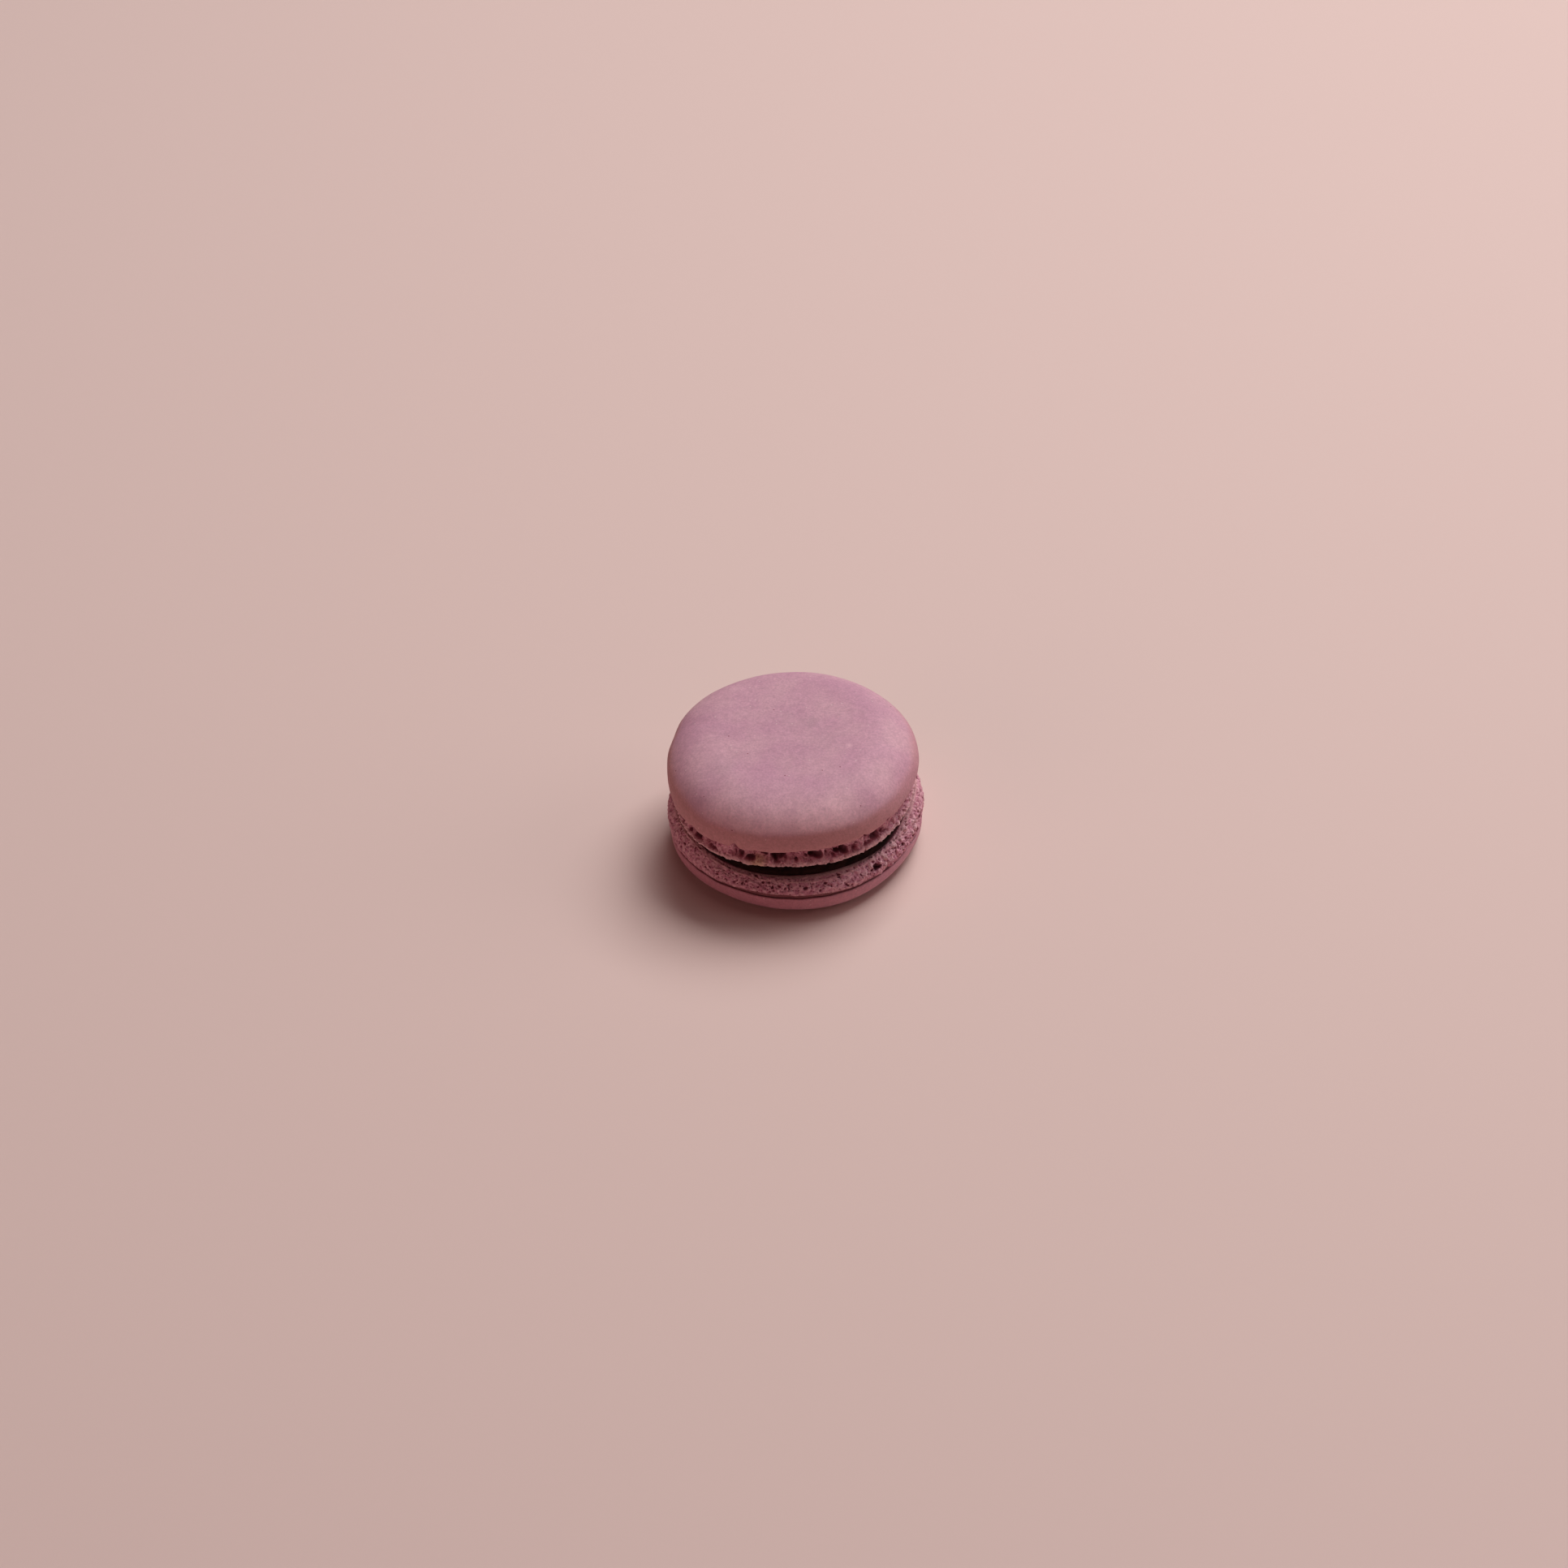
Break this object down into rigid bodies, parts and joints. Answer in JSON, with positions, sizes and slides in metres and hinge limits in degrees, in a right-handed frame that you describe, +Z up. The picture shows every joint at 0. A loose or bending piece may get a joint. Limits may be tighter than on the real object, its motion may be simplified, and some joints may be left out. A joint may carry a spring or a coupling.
{
  "type": "french macaron",
  "caption": "Round sandwich biscuit: two smooth domed almond meringue shells with ruffled, spongy feet, and a thin dark filling between them that shows in a slot at the front.",
  "frame": {"origin": "centre of the small flat spot that the lower shell rests on", "axes": "+Z up through the shells; -Y is the front, where the slot between the shells stands open; +X to the right as seen from the front"},
  "size_m": [0.0454, 0.0455, 0.0244],
  "materials": {
    "lower_meringue": "matte, porous baked meringue, dusky pink, with a smooth cap below and a spongy foot above",
    "dark_filling": "dull, nearly black brown cream",
    "upper_meringue": "matte, dusty, mauve pink baked meringue skin, browner at the rim, over a spongy foot"
  },
  "bodies": {
    "root": {"bottom_shell": "lower_meringue", "filling": "dark_filling", "top_shell": "upper_meringue"}
  },
  "joints": []
}
